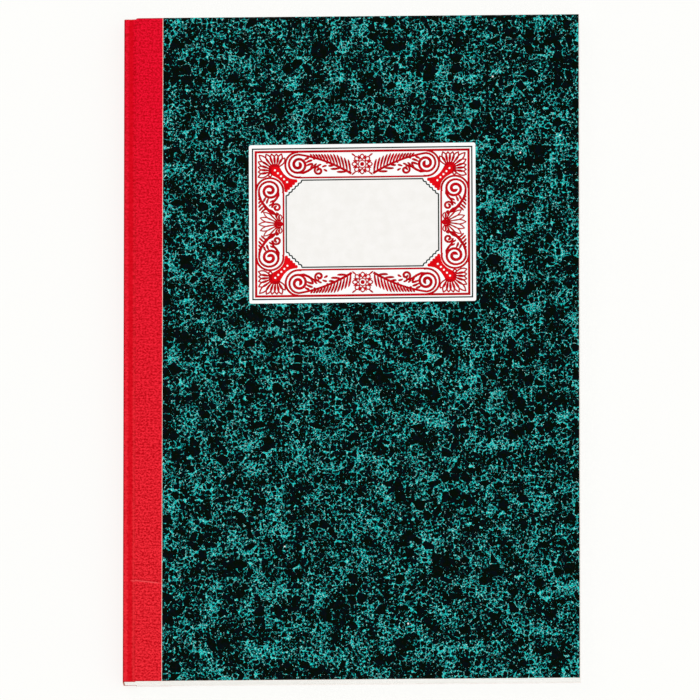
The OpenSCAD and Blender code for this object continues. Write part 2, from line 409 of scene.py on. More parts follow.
def makePaperGroup():
    # fibres and tooth of paper: a tint between two colours and a height
    inputs = [("Light", "NodeSocketColor", None), ("Dark", "NodeSocketColor", None)]
    inputs.append(("Grain", "NodeSocketFloat", 2.0))
    outputs = [("Colour", "NodeSocketColor"), ("Height", "NodeSocketFloat")]
    tree, start, end = newGroup("paperTooth", inputs, outputs)
    place = inMillimetres(tree)
    mottle = cloud(tree, place, 0.22, 3.0)
    fine = cloud(tree, place, start.outputs["Grain"], 3.0, 0.6)
    both = calc(tree, "ADD", times(tree, mottle, 0.6), times(tree, fine, 0.4))
    amount = fade(tree, both, 0.34, 0.66)
    colour = blendColour(tree, amount, start.outputs["Dark"], start.outputs["Light"])
    tree.links.new(colour, end.inputs["Colour"])
    tree.links.new(fine, end.inputs["Height"])
    return tree


def makeWeaveGroup():
    # plain weave: threads over and under, with slubs, as a height and a shade
    inputs = [("Pitch", "NodeSocketFloat", 0.5), ("Uneven", "NodeSocketFloat", 0.3)]
    outputs = [("Height", "NodeSocketFloat"), ("Shade", "NodeSocketFloat")]
    tree, start, end = newGroup("plainWeave", inputs, outputs)
    place = inMillimetres(tree)
    axes = splitAxes(tree, pushAbout(tree, place, 0.35, start.outputs["Uneven"], "3D"))
    turns = calc(tree, "DIVIDE", 2 * math.pi, start.outputs["Pitch"])
    acrossX, acrossY = [calc(tree, "SINE", times(tree, axes[part], turns)) for part in (0, 1)]
    over = times(tree, acrossX, acrossY)
    slub = cloud(tree, place, 1.3)
    for label, depth in (("Height", 0.5), ("Shade", 0.25)):
        both = calc(tree, "ADD", times(tree, over, depth), slub)
        tree.links.new(both, end.inputs[label])
    return tree


# red book cloth
clothSet = {
    "deepHead": linear(190, 0, 17),
    "lightHead": linear(245, 14, 49),
    "deepTail": linear(184, 0, 14),
    "lightTail": linear(250, 46, 58),
    # colours of the painted highlight on the spine's shoulder and the board's edge, and of the painted
    # shade in the joint's groove
    "shoulderHighlight": linear(235, 36, 48),
    "groove": linear(214, 0, 20),
    "ridgeHighlight": linear(238, 56, 62),
    # colour of the painted shade along the spine's fold and the cut ends
    "edge": linear(150, 8, 22),
    "ribPitch": 1.55,  # mm between the thicker weft threads
    "wearAndHighlightBelow": 115.0,  # rubbed, with stronger painted highlights, more and more from here
    "wearAndHighlightMost": -110.0,  # to here, toward the tail
    # bands of painted highlight and painted shade across the spine, in mm from its outer face
    "shoulderHighlightBand": (0.6, 1.0, 1.5, 2.3),
    "grooveBand": (1.9, 2.6, 3.9, 4.6),
    "ridgeHighlightBand": (4.4, 4.8, 5.1, 5.6),
    "crease": {"at": -109.2, "slope": 0.117, "from": 3.2, "to": 17.6},
    "creaseRise": (-0.45, -0.15, 0.1, 0.4),
    "creaseDip": (0.15, 0.5, 0.7, 1.1),
    # colours of the crease's painted highlight and painted shade
    "creaseHighlight": linear(252, 96, 98),
    "creaseShade": linear(168, 4, 20),
}


def makeClothMaterial(weave):
    s = clothSet
    material, tree, shader = newMaterial("redBookCloth", 0.75, 0.04)
    place = inMillimetres(tree)
    x, y, z = splitAxes(tree, place)
    across = calc(tree, "ADD", x, -spineX)
    weaving = placeGroup(tree, weave, {"Pitch": 0.62, "Uneven": 0.5})
    # thicker weft threads run across the spine
    sway = cloud(tree, inMillimetres(tree, (0.25, 1, 1)), 0.5, 2.0)
    along = timesAdd(tree, sway, 3.0, y)
    rib = calc(tree, "SINE", times(tree, along, 2 * math.pi / s["ribPitch"]))
    blotch = cloud(tree, inMillimetres(tree, (1, 1.25, 1)), 1.05, 1.5, 0.6)
    shade = timesAdd(tree, weaving["Shade"], 0.22, times(tree, blotch, 0.8))
    shade = timesAdd(tree, rib, 0.035, shade)
    amount = fadeStraight(tree, shade, 0.40, 0.62)
    # duller and more rubbed toward the tail
    wearAndHighlight = fadeStraight(tree, y, s["wearAndHighlightMost"], s["wearAndHighlightBelow"], 1.0, 0.0)
    deep = blendColour(tree, wearAndHighlight, s["deepHead"], s["deepTail"])
    light = blendColour(tree, wearAndHighlight, s["lightHead"], s["lightTail"])
    body = blendColour(tree, amount, deep, light)
    # painted highlight on the spine's rounded shoulder and on the board's edge, stronger toward the
    # tail, and painted shade in the joint's groove
    bands = (
        ("shoulderHighlight", timesAdd(tree, wearAndHighlight, 0.45, 0.2)),
        ("groove", 0.75),
        ("ridgeHighlight", times(tree, wearAndHighlight, 0.55)),
    )
    for key, strength in bands:
        part = times(tree, between(tree, across, s[key + "Band"]), strength)
        body = blendColour(tree, part, body, s[key])
    # a short crease on the front, a painted highlight along its rise and painted shade beside it
    c = s["crease"]
    wiggle = timesAdd(tree, cloud(tree, place, 0.8), 0.5, -0.25)
    line = timesAdd(tree, across, c["slope"], y)
    line = calc(tree, "ADD", calc(tree, "ADD", line, -c["at"]), wiggle)
    reach = between(tree, across, (c["from"], c["from"] + 1.5, c["to"] - 2, c["to"]))
    reach = times(tree, reach, calc(tree, "GREATER_THAN", z, bookSet["middle"]))
    sides = (("creaseRise", 0.6, "creaseHighlight"), ("creaseDip", 0.55, "creaseShade"))
    for key, strength, colour in sides:
        part = times(tree, between(tree, line, s[key]), reach)
        body = blendColour(tree, times(tree, part, strength), body, s[colour])
    # painted shade along the fold at the spine and along the cut ends
    upDown = calc(tree, "ABSOLUTE", calc(tree, "ADD", z, -bookSet["middle"]))
    fold = fadeStraight(tree, across, 0.25, 0.75, 0.8, 0.0)
    fold = times(tree, fold, fadeStraight(tree, upDown, 3.9, 4.4))
    ends = fadeStraight(tree, calc(tree, "ABSOLUTE", y), 157.05, 157.3, 0.0, 0.65)
    body = blendColour(tree, larger(tree, fold, ends), body, s["edge"])
    shader.inputs["Sheen Weight"].default_value = 0.02
    dressShader(tree, shader, body, weaving["Height"], 0.45, 0.00006)
    return material


# marbled cover papers, cut flush, with a pale bevelled edge beside the cloth
coverPaperSet = {
    "start": 18.05,
    "thickness": 0.15,
    "cut": 0.25,  # width of the pale slanting cut beside the cloth
    "wear": 0.05,
}


# green-black marbled paper: drops of dark colour press the teal into veins
marbleSet = {
    "ground": linear(0, 9, 1),
    "groundBlue": linear(0, 9, 15),
    "groundRed": linear(22, 8, 10),
    "vein": linear(0, 132, 138),
    "veinLight": linear(30, 212, 202),
    "veinPale": linear(206, 236, 226),
    "rubbed": linear(120, 140, 134),
    "chip": linear(244, 246, 240),
    # place and radius of each chip, in mm
    "chips": (
        (65.9, 128.1, 0.55), (78.7, 91.8, 0.45), (97.2, 99.9, 0.4),
        (26.5, -131.3, 0.5), (-30.8, -94.4, 0.45),
    ),
    "wander": 1.0,  # mm that the drops are pushed about
    "pool": 0.165,  # mm of extra vein where the colour pools
    "thin": -0.032,  # and less of it everywhere
    "break": 0.38,
    "edge": 0.02,
    # where the cut ends and the fore-edge are rubbed, from and to
    "rubbedEnds": (156.9, 157.4),
    "rubbedFore": (105.4, 105.9),
    # patches of colour: scale of their cloud, from and to
    "bluePatches": (0.35, 0.45, 0.62),
    "redPatches": (1.2, 0.62, 0.72),
    "lightPatches": (0.9, 0.35, 0.65),
    "palePatches": (1.9, 0.62, 0.72),
    # drops per mm, their offset, vein width, how round they are, share left plain
    "bigDrops": (0.23, 0.0, 0.02, 1.2, 0.12),
    "middleDrops": (0.40, 17.0, 0.05, 0.80, 0.46),
    "smallDrops": (0.80, 31.0, 0.0, 0.76, 0.0),
}


def veinsBetween(tree, wet, pooled, wobble, drops):
    # the veins left between drops of one size, and which drops stay plain
    scale, offset, width, roundness, plain = drops
    place = vectorCalc(tree, "ADD", wet, (offset, offset * 1.3, 0)).outputs[0]
    inputs = {"Vector": place, "Scale": scale}
    kind = "ShaderNodeTexVoronoi"
    edge = addNode(tree, kind, inputs, voronoi_dimensions="2D", feature="DISTANCE_TO_EDGE")
    drop = addNode(tree, kind, inputs, voronoi_dimensions="2D", feature="F1")
    reach = calc(tree, "ADD", timesAdd(tree, wobble, marbleSet["break"], pooled), width)
    fromEdge = calc(tree, "SUBTRACT", reach, calc(tree, "DIVIDE", edge.outputs["Distance"], scale))
    beyond = calc(tree, "SUBTRACT", drop.outputs["Distance"], roundness)
    atCorner = timesAdd(tree, reach, 0.7, calc(tree, "DIVIDE", beyond, scale))
    veins = fadeStraight(tree, larger(tree, fromEdge, atCorner), 0.0, marbleSet["edge"])
    chance = addNode(tree, "ShaderNodeSeparateColor", {0: drop.outputs["Color"]}).outputs[0]
    return veins, calc(tree, "GREATER_THAN", chance, plain)


def patchy(tree, place, patches, detail=2.0):
    scale, low, high = patches
    return fadeStraight(tree, flatCloud(tree, place, scale, detail), low, high)


def chipsIn(tree, place):
    # small chips show the paper's core
    ragged = pushAbout(tree, place, 2.2, 0.7)
    chips = None
    for x, y, size in marbleSet["chips"]:
        off = vectorCalc(tree, "DISTANCE", ragged, (x, y, bookSet["coverTop"])).outputs["Value"]
        chip = fadeStraight(tree, off, size * 0.7, size, 1.0, 0.0)
        chips = chip if chips is None else larger(tree, chips, chip)
    return chips


def rubbedEdges(tree, place):
    s = marbleSet
    axes = splitAxes(tree, place)
    endward = fadeStraight(tree, calc(tree, "ABSOLUTE", axes[1]), *s["rubbedEnds"])
    foreward = fadeStraight(tree, axes[0], *s["rubbedFore"])
    patches = fadeStraight(tree, cloud(tree, place, 0.55, 3.0), 0.56, 0.68)
    return times(tree, larger(tree, endward, foreward), patches)


def makeMarbleMaterial():
    s = marbleSet
    material, tree, shader = newMaterial("marbledPaper", 0.5, 0.022)
    place = inMillimetres(tree)
    wet = pushAbout(tree, place, 0.8, s["wander"])
    rich = fadeStraight(tree, flatCloud(tree, place, 0.10, 4.0, 0.6), 0.36, 0.70, -0.45, 1.0)
    pooled = timesAdd(tree, rich, s["pool"], s["thin"])
    wobble = timesAdd(tree, flatCloud(tree, place, 0.75, 2.0, 0.6), 2.0, -1.0)
    # small drops fill the open middle ones, and those the open big ones
    veins = veinsBetween(tree, wet, pooled, wobble, s["smallDrops"])[0]
    for key in ("middleDrops", "bigDrops"):
        wider, isOpen = veinsBetween(tree, wet, pooled, wobble, s[key])
        veins = larger(tree, wider, times(tree, veins, isOpen))
    ground = blendColour(tree, patchy(tree, place, s["bluePatches"]), s["ground"], s["groundBlue"])
    ground = blendColour(tree, patchy(tree, place, s["redPatches"]), ground, s["groundRed"])
    vein = blendColour(tree, patchy(tree, place, s["lightPatches"]), s["vein"], s["veinLight"])
    vein = blendColour(tree, patchy(tree, place, s["palePatches"], 1.0), vein, s["veinPale"])
    colour = blendColour(tree, veins, ground, vein)
    rubbed = times(tree, rubbedEdges(tree, place), 0.5)
    colour = blendColour(tree, rubbed, colour, s["rubbed"])
    colour = blendColour(tree, chipsIn(tree, place), colour, s["chip"])
    tree.links.new(fadeStraight(tree, veins, 0.0, 1.0, 0.42, 0.55), shader.inputs["Roughness"])
    dressShader(tree, shader, colour, flatCloud(tree, place, 3.0), 0.15, 0.00003)
    return material


# name, light, dark, roughness, grain, bump and shine of papers, boards and inks
paperSet = {
    "core": ("coverPaperCore", linear(252, 228, 214), linear(236, 190, 172), 0.85, 1.5),
    "board": ("paleBoard", linear(254, 252, 250), linear(246, 241, 237), 0.85, 1.2, 0.5),
    "endpaper": ("endPaper", linear(250, 249, 244), linear(240, 237, 228)),
    "liner": ("kraftLiner", linear(196, 160, 118), linear(164, 128, 88), 0.85, 1.0, 0.5),
    "label": ("labelPaper", linear(255, 255, 254), linear(252, 252, 251), 0.6, 2.5, 0.1),
    "panel": ("labelPanelTint", linear(248, 246, 243), linear(243, 241, 237), 0.6, 2.5, 0.1),
    "redInk": ("redPrint", linear(236, 6, 20), linear(216, 0, 10), 0.6, 3.0, 0.1, 0.04),
    "redLines": ("redLinePrint", linear(200, 2, 20), linear(170, 0, 8), 0.6, 3.0, 0.1, 0.04),
    "darkInk": ("darkPrint", linear(40, 56, 52), linear(10, 24, 20), 0.6, 3.0, 0.1, 0.04),
}


def makePaperMaterial(paper, name, light, dark, roughness=0.8, grain=2.0, bump=0.25, level=0.1):
    material, tree, shader = newMaterial(name, roughness, level)
    tooth = placeGroup(tree, paper, {"Light": light, "Dark": dark, "Grain": grain})
    dressShader(tree, shader, tooth["Colour"], tooth["Height"], bump, 0.00004)
    return material


leafEdgeSet = {
    "shade": linear(234, 232, 225),
    "light": linear(255, 255, 253),
    "along": 0.02,  # the lines hardly change along an edge
    "across": 3.2,  # and often from leaf to leaf
}


def makeLeafMaterial():
    # the cut edges of the leaves show as fine lines
    s = leafEdgeSet
    material, tree, shader = newMaterial("ledgerLeaf", 0.8, 0.1)
    stretch = (s["along"], s["along"], s["across"])
    layered = vectorCalc(tree, "MULTIPLY", inMillimetres(tree), stretch).outputs[0]
    lines = fadeStraight(tree, cloud(tree, layered, 1.0, 4.0, 0.7), 0.36, 0.60)
    colour = blendColour(tree, lines, s["shade"], s["light"])
    dressShader(tree, shader, colour, lines, 0.4, 0.00004)
    return material


def makeGauzeMaterial(weave):
    material, tree, shader = newMaterial("mullGauze", 0.9, 0.2)
    weaving = placeGroup(tree, weave, {"Pitch": 1.1, "Uneven": 0.2})
    amount = fade(tree, weaving["Shade"], 0.3, 0.7)
    colour = blendColour(tree, amount, linear(196, 186, 158), linear(232, 226, 204))
    dressShader(tree, shader, colour, weaving["Height"], 0.8, 0.00015)
    return material


def makeThreadMaterial():
    material, tree, shader = newMaterial("linenThread", 0.7, 0.3)
    place = inMillimetres(tree, turn=(0, 0, math.radians(35)))
    ply = addNode(tree, "ShaderNodeTexWave", {"Vector": place, "Scale": 1.2, "Distortion": 0.6})
    colour = blendColour(tree, ply.outputs["Fac"], linear(206, 196, 168), linear(238, 232, 214))
    dressShader(tree, shader, colour, ply.outputs["Fac"], 0.5, 0.00008)
    return material


def makeMaterials():
    paper = makePaperGroup()
    weave = makeWeaveGroup()
    made = {
        "cloth": makeClothMaterial(weave),
        "marble": makeMarbleMaterial(),
        "leaf": makeLeafMaterial(),
        "gauze": makeGauzeMaterial(weave),
        "thread": makeThreadMaterial(),
    }
    for key, settings in paperSet.items():
        made[key] = makePaperMaterial(paper, *settings)
    print("materials made:", len(made))
    return made


def paint(piece, *materials):
    piece.data.materials.clear()
    for material in materials:
        piece.data.materials.append(material)


# book cloth of one cover, from mid-spine over the joint onto the board
clothShape = {
    "boardEnd": 22.2,  # from the spine's outer face
    "boardFace": 5.85,
    "boardTop": 12.2,
    "jointLow": 10.7,
    "grooveStart": 2.9,
    "shoulderAt": 1.6,
    "shoulderRise": 0.22,
    "shoulderCurve": 0.62,
    "wall": 0.15,  # the middle of the cloth on the spine
    "thickness": 0.3,
    # radius and steps of the bends, from the board round to the spine
    "bends": ((0.22, 3), (0.5, 4), (0.5, 3), (0.5, 4)),
    "spineSteps": 6,
    "rows": (156.6, 150, 75, 0, -75, -150, -157.2),
    "headTrim": 0.36,  # the joint strip ends this much short of the head
    "trimAt": (4.6, 5.6, 6.6),
    "bendFromTo": (-0.4, 0.39),  # above and below the fold
    "bendRows": (9.75, 9.95, 10.15),
}


def makeClothPiece(name):
    s = clothShape
    half = bookSet["halfHeight"]
    faceX, top, low = spineX + s["boardFace"], s["boardTop"], s["jointLow"]
    rise = s["shoulderRise"]
    corners = [
        (faceX, low),
        (spineX + s["grooveStart"], low),
        (spineX + s["shoulderAt"], low + rise),
        (spineX + s["wall"], low + rise * 0.5),
        (spineX + s["wall"], bookSet["middle"]),
    ]
    piece = addSheet(name, faceX, spineX + s["boardEnd"], half, top)
    openEdit(piece)
    extrudeAlong(piece, faceX, top, corners)
    # round the corners as cloth bends
    bends = s["bends"] + ((s["shoulderCurve"], s["spineSteps"]),)
    for (bendX, bendZ), (size, steps) in zip([(faceX, top)] + corners, bends):
        pickEdges(piece, lambda p: near(p.x, bendX) and near(p.z, bendZ))
        bpy.ops.mesh.bevel(offset=size * mm, segments=steps, profile=0.5, affect="EDGES")
    # cut across so that the head can be trimmed at the joint
    for cutY in s["rows"]:
        cutAt(1, cutY)
    for cutX in s["trimAt"]:
        cutAt(0, spineX + cutX)
    for cutZ in s["bendRows"]:
        cutAt(2, cutZ)
    for cutX in s["trimAt"]:
        pickVerts(piece, lambda p: near(p.y, half, 0.6) and p.x < spineX + cutX - 0.01)
        moveBy(0, -s["headTrim"] / len(s["trimAt"]), 0)
    closeEdit()
    faceOut(piece)
    thicken(piece, s["thickness"])
    faceOut(piece)
    smoothBy(piece, 50)
    return piece


def makeCloth(made):
    front = makeClothPiece("frontBookCloth")
    paint(front, made["cloth"])
    back = mirrorBelow(front, "backBookCloth")
    smoothBy(back, 50)
    # both have their placement baked into their meshes
    blendBoth(front, back)
    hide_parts("front_cloth", "spine_cloth")
    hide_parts("back_cloth")
    print("book cloth made")


def makeCoverPaper(made):
    s = coverPaperSet
    half, foreEdge, top = bookSet["halfHeight"], bookSet["foreEdge"], bookSet["coverTop"]
    startX = spineX + s["start"]
    low = (startX, -half, top - s["thickness"])
    front = addBlock("frontMarbledSheet", low, (foreEdge, half, top))
    openEdit(front)
    pickEdges(front, lambda p: near(p.x, startX) and near(p.z, top))
    moveBy(s["cut"], 0, 0)
    pickEdges(front, lambda p: p.z > top - 0.01 and p.x > foreEdge - 0.1)
    bpy.ops.mesh.bevel(offset=s["wear"] * mm, segments=2, affect="EDGES")
    closeEdit()
    faceOut(front)
    paint(front, made["marble"], made["core"])
    for face in front.data.polygons:
        face.material_index = 0 if face.normal.z > 0.98 else 1
    back = mirrorBelow(front, "backMarbledSheet")
    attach(front, "front_cover")
    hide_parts("front_marbled_paper", "front_marbling")
    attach(back, "back_cover")
    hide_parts("back_marbled_paper")
    print("cover papers made")


# leaves: folded sheets in sections
leafSet = {
    "sections": 7,
    "sheets": 6,
    "low": 2.55,
    "high": 9.95,
    "foldX": 0.72,
    "foldDepth": 0.3,
    "thickness": 0.082,
    "uneven": 0.07,  # how far back a leaf's cut edge may stand
    "perStep": 12,  # steps of height per mm in which the edges differ
}


def makeSection():
    # one section: sheets folded round each other, modelled once
    s = leafSet
    half, foreEdge = bookSet["halfHeight"], bookSet["foreEdge"]
    tall = (s["high"] - s["low"]) / s["sections"]
    pitch = tall / s["sheets"] / 2
    middle = s["low"] + tall / 2
    sheets = []
    for turn in range(s["sheets"]):
        out = pitch * (turn + 0.5)
        foldAt = spineX + s["foldX"] + (s["sheets"] - 1 - turn) * s["foldDepth"] / s["sheets"]
        bow = min(out * 0.9, 0.3)
        sheet = addSheet("sheet", foldAt + bow, foreEdge, half, middle + out)
        openEdit(sheet)
        path = (
            (foldAt, middle + out * 0.6),
            (foldAt, middle - out * 0.6),
            (foldAt + bow, middle - out),
            (foreEdge, middle - out),
        )
        extrudeAlong(sheet, foldAt + bow, middle + out, path, 0.002)
        closeEdit()
        thicken(sheet, s["thickness"])
        faceOut(sheet)
        sheets.append(sheet)
    return joinParts(sheets, "section"), tall


def makeLeaves(made):
    s = leafSet
    section, tall = makeSection()
    stack = [section]
    for count in range(1, s["sections"]):
        again = copyOf(section)
        again.data.transform(Matrix.Translation((0, 0, tall * count * mm)))
        stack.append(again)
    leaves = joinParts(stack, "leaves")
    # the cut edges are not quite in line, leaf by leaf
    half, foreEdge = bookSet["halfHeight"] - 0.1, bookSet["foreEdge"] - 0.1
    shifts = {}
    for vert in leaves.data.vertices:
        p = vert.co / mm
        key = round(p.z * s["perStep"])
        if key not in shifts:
            # for the fore-edge, the head and the tail
            draws = (random.random(), random.random(), random.random())
            shifts[key] = [draw * s["uneven"] * mm for draw in draws]
        if p.x > foreEdge:
            vert.co.x -= shifts[key][0]
        if p.y > half:
            vert.co.y -= shifts[key][1]
        elif p.y < -half:
            vert.co.y += shifts[key][2]
    paint(leaves, made["leaf"])
    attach(leaves, "book_block")
    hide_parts("pages")
    print("leaves made:", len(leaves.data.polygons), "faces")


# folded endpapers: flyleaf, fold and pastedown in one sheet
endpaperSet = {
    "flyAt": 10.045,
    "pasteAt": 10.255,
    "foldAt": 0.95,
    "foldOut": 0.12,
    "inset": 0.05,  # they end this much short of the book's edges
    "thickness": 0.18,
    "bendFromTo": (-0.01, 0.01),
}


def makeEndpapers(made):
    s = endpaperSet
    half, edge = bookSet["halfHeight"] - s["inset"], bookSet["foreEdge"] - s["inset"]
    foldX = spineX + s["foldAt"]
    path = (
        (foldX - s["foldOut"], bookSet["frontHinge"]),
        (foldX, s["pasteAt"]),
        (edge, s["pasteAt"]),
    )
    front = addSheet("frontEndpaper", foldX, edge, half, s["flyAt"])
    openEdit(front)
    extrudeAlong(front, foldX, s["flyAt"], path, 0.002)
    closeEdit()
    thicken(front, s["thickness"])
    faceOut(front)
    paint(front, made["endpaper"])
    back = mirrorBelow(front, "backEndpaper")
    blendBoth(front, back)
    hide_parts("front_flyleaf", "front_pastedown")
    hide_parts("back_flyleaf", "back_pastedown")
    print("endpapers made")


# gauze over the spine, under the cloth and onto the boards
mullSet = {
    "spineAt": 0.6,
    "jointAt": 10.45,
    "reach": 24.0,
    "halfLength": 149.5,
    "curve": 0.3,
    "thickness": 0.18,
    "bendFromTo": (-0.2, 0.2),
}


def makeMull(made):
    s = mullSet
    x, z = spineX + s["spineAt"], s["jointAt"]
    front = addSheet("frontGauze", x, spineX + s["reach"], s["halfLength"], z)
    openEdit(front)
    pickEdges(front, lambda p: near(p.x, x))
    extrudeBy(0, 0, bookSet["middle"] - z)
    pickEdges(front, lambda p: near(p.x, x) and near(p.z, z))
    bpy.ops.mesh.bevel(offset=s["curve"] * mm, segments=3, affect="EDGES")
    closeEdit()
    thicken(front, s["thickness"])
    faceOut(front)
    paint(front, made["gauze"])
    back = mirrorBelow(front, "backGauze")
    blendBoth(front, back)
    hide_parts("front_mull", "spine_mull")
    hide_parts("back_mull")
    print("gauze made")


# printed border of the label: one quarter is drawn, then copied to the four corners
labelSet = {
    "middle": (5.2, 58.8),
    "turn": 0.25,
    "halfWidth": 52.75,
    "halfHeight": 37.7,
    "inkLevel": 12.626,
    "inkHalf": 0.012,
    "inkSpread": 1.17,
    "panelLevel": 12.619,
    "panelHalf": 0.006,
    "beadLevel": 12.642,
    "beadHalf": 0.006,
    "bandOuter": 3.8,
    "bandInner": 15.4,
    "bandMiddle": 9.6,
    "sideStretch": 1.036,  # the band is a little wider at the short sides
    "sideShift": -0.27,
    "frameAt": 3.35,
    "frameHalf": 0.55,
    "innerAt": 15.75,
    "innerHalf": 0.42,
    "keyOuter": 1.9,
    "keyInner": 16.95,
    "keyHalf": 0.31,
    "cutCorner": 7.2,
    "fanAt": 12.4,
    "fanPetals": 5,  # on each side of the middle petal
    "fanStep": 16.0,
    "beadsFrom": 12.1,
    "beadStep": 1.42,
    "scrollAlong": 23.0,
    "shortBack": 1.2,  # the short side's scroll stands this much nearer the corner
    "scrollRadius": 4.9,
    "scrollGap": 1.15,
    "scrollTurns": 1.95,
    "leafPitch": 1.42,
    "leafSlant": 40,
    "curlRadius": 2.2,
    "rosetteRadius": 4.7,
    "palmetteAt": 14.5,
    "petalHalf": 0.3,
    "beads": 5,
}

# stems and leaves of the branches, in mm from the middle of their scroll
branchSet = {
    "longStalk": (
        (0.4, 3.8, 0.42), (2.4, 3.9, 0.5), (4.6, 2.9, 0.5),
        (6.6, 1.5, 0.48), (8.2, 1.0, 0.46), (9.6, 1.15, 0.42),
    ),
    "shortStalk": (
        (0.4, 3.8, 0.42), (2.2, 3.9, 0.5), (3.9, 2.9, 0.5),
        (5.4, 1.6, 0.48), (6.8, 1.1, 0.45), (8.1, 1.3, 0.42),
    ),
    "shortStem": (
        (0, -4.9, 0.42), (2.4, -4.7, 0.5), (4.8, -3.9, 0.55), (7.2, -2.3, 0.55),
        (9.4, -0.4, 0.5), (11.2, 2.2, 0.45), (12.0, 3.6, 0.4),
    ),
    # place, angle and length of each leaf
    "longLeaves": ((5.6, 2.1, -72, 2.6), (7.0, 1.2, -60, 2.4), (8.6, 0.9, -38, 2.4)),
    "shortLeaves": ((4.6, 2.2, -78, 2.4), (6.2, 1.2, -66, 2.0)),
    "sprays": (
        (3.2, -4.4, -36, 1.3), (4.6, -4.0, -46, 1.9), (5.9, -3.3, -54, 2.7),
        (7.2, -2.3, -60, 3.4), (8.3, -1.4, -62, 3.4), (6.8, -2.6, 14, 2.8),
        (8.2, -1.4, 20, 2.6), (9.6, 0.0, 24, 2.2),
    ),
}


def toward(x, y, angle, reach):
    turn = math.radians(angle)
    return x + reach * math.cos(turn), y + reach * math.sin(turn)


def leafStroke(x, y, angle, length, half, bow=0.0):
    points = []
    for share, fullness in ((0, 0.5), (0.3, 0.85), (0.6, 1.0), (0.85, 0.85), (1.0, 0.3)):
        tip = toward(x, y, angle + bow * share, length * share)
        points.append((*tip, half * fullness))
    return points


def petalStroke(x, y, angle, start, reach, width):
    # the outline of one petal
    turn = math.radians(angle)
    ax, ay = math.cos(turn), math.sin(turn)
    line = labelSet["petalHalf"]
    sides = []
    for step in range(7):
        share = step / 6
        out = width * math.sin(math.pi * share ** 1.5) ** 0.8 if 0 < share < 1 else 0.05
        sides.append((start + (reach - start) * share, out))
    outline = [(x + p * ax - q * ay, y + p * ay + q * ax, line) for p, q in sides]
    outline += [(x + p * ax + q * ay, y + p * ay - q * ax, line) for p, q in reversed(sides)]
    return outline


def spiralStroke(x, y, inner, outer, turns, thick, thin, steps=36):
    # a spiral that ends at its lowest point
    points = []
    for step in range(steps + 1):
        share = step / steps
        angle = 270 - 360 * turns * (1 - share)
        end = toward(x, y, angle, inner + (outer - inner) * share)
        points.append((*end, thick + (thin - thick) * share))
    return points


def arcStroke(x, y, radius, first, last, half, steps=18):
    turns = [first + (last - first) * step / steps for step in range(steps + 1)]
    return [(*toward(x, y, turn, radius), half) for turn in turns]


def dotStroke(x, y, half):
    across = ((-0.9, 0.45), (-0.5, 0.87), (0.0, 1.0), (0.5, 0.87), (0.9, 0.45))
    return [(x + half * p, y, half * q) for p, q in across]


def roomFor(x, y, angle, most, keepOff):
    # how long a leaf can grow before it meets the band's edge or another form
    s = labelSet
    length = 0.4
    while length < most:
        tipX, tipY = toward(x, y, angle, length)
        inBand = s["bandOuter"] + 0.55 < tipY < s["bandInner"] - 0.55
        clear = all(math.hypot(tipX - cx, tipY - cy) > r for cx, cy, r in keepOff)
        if not (inBand and clear):
            return length - 0.1
        length += 0.1
    return most


def leavesAround(x, y, radius, leaves, half):
    # short leaves that grow from a ring: angle on the ring, lean, length
    strokes = []
    for turn, lean, reach in leaves:
        foot = toward(x, y, turn, radius)
        strokes.append(leafStroke(*foot, turn + lean, reach, half, 12))
    return strokes


def leavesAt(cx, cy, leaves, half):
    return [leafStroke(cx + x, cy + y, angle, reach, half, 14) for x, y, angle, reach in leaves]


def strokeAt(cx, cy, points):
    return [(cx + x, cy + y, half) for x, y, half in points]


def scrollStrokes(cx, cy, r):
    s = labelSet
    spiral = spiralStroke(cx, cy, 0.55, r, s["scrollTurns"], 0.7, 0.42)
    return [spiral, arcStroke(cx, cy, r + s["scrollGap"], 78, 268, 0.42)]


def featherBranch(cx, cy, r, keepOff):
    # grows from the middle of the side toward the scroll
    s = labelSet
    baseX, baseY = s["halfWidth"] - s["rosetteRadius"] - 0.3, s["bandInner"] - 1.3
    tipX, tipY = cx - 0.1, cy - r

    def stemAt(share):
        eased = 1.62 * share - 0.62 * share * share
        return baseX + (tipX - baseX) * share, baseY + (tipY - baseY) * eased

    strokes = [[(*stemAt(step / 16), 0.5 - 0.08 * step / 16) for step in range(17)]]
    count = int((baseX - tipX) / s["leafPitch"])
    for number in range(count):
        share = (number + 0.35) / count
        x, y = stemAt(share)
        x2, y2 = stemAt(min(share + 0.02, 1.0))
        heading = math.degrees(math.atan2(y2 - y, x2 - x))
        upward = heading + s["leafSlant"] + 18 * (1 - share)
        reach = roomFor(x, y, upward, 6.6, keepOff)
        if reach > 1.1:
            strokes.append(leafStroke(x, y, upward, reach, min(0.46, 0.3 + reach * 0.05), -8))
        downward = heading - s["leafSlant"] - 2
        reach = roomFor(x, y, downward, 4.9, keepOff)
        if reach > 1.1 and number % 2:
            strokes.append(leafStroke(x, y, downward, reach, 0.5, 10))
    return strokes


def longBranch():
    s = labelSet
    cx, cy, r = s["scrollAlong"], s["bandMiddle"], s["scrollRadius"]
    strokes = scrollStrokes(cx, cy, r)
    # curl that leaves the scroll's foot, with leaves above its stem
    curlR = s["curlRadius"]
    curlX, curlY = cx + r + 4.6, s["bandInner"] - curlR - 0.7
    strokes.append(spiralStroke(curlX, curlY, 0.4, curlR, 1.3, 0.55, 0.42, 20))
    strokes.append(strokeAt(cx, cy, branchSet["longStalk"]))
    strokes += leavesAround(cx, cy, 3.6, ((-38, 0, 2.5), (-14, -20, 3.4), (10, -40, 3.6)), 0.5)
    strokes += leavesAt(cx, cy, branchSet["longLeaves"], 0.42)
    strokes += leavesAround(curlX, curlY, curlR + 0.1, ((-48, 20, 2.3), (-14, 32, 2.0)), 0.45)
    keepOff = [(cx, cy, r + 2.4), (curlX, curlY, curlR + 2.6)]
    return strokes + featherBranch(cx, cy, r, keepOff)


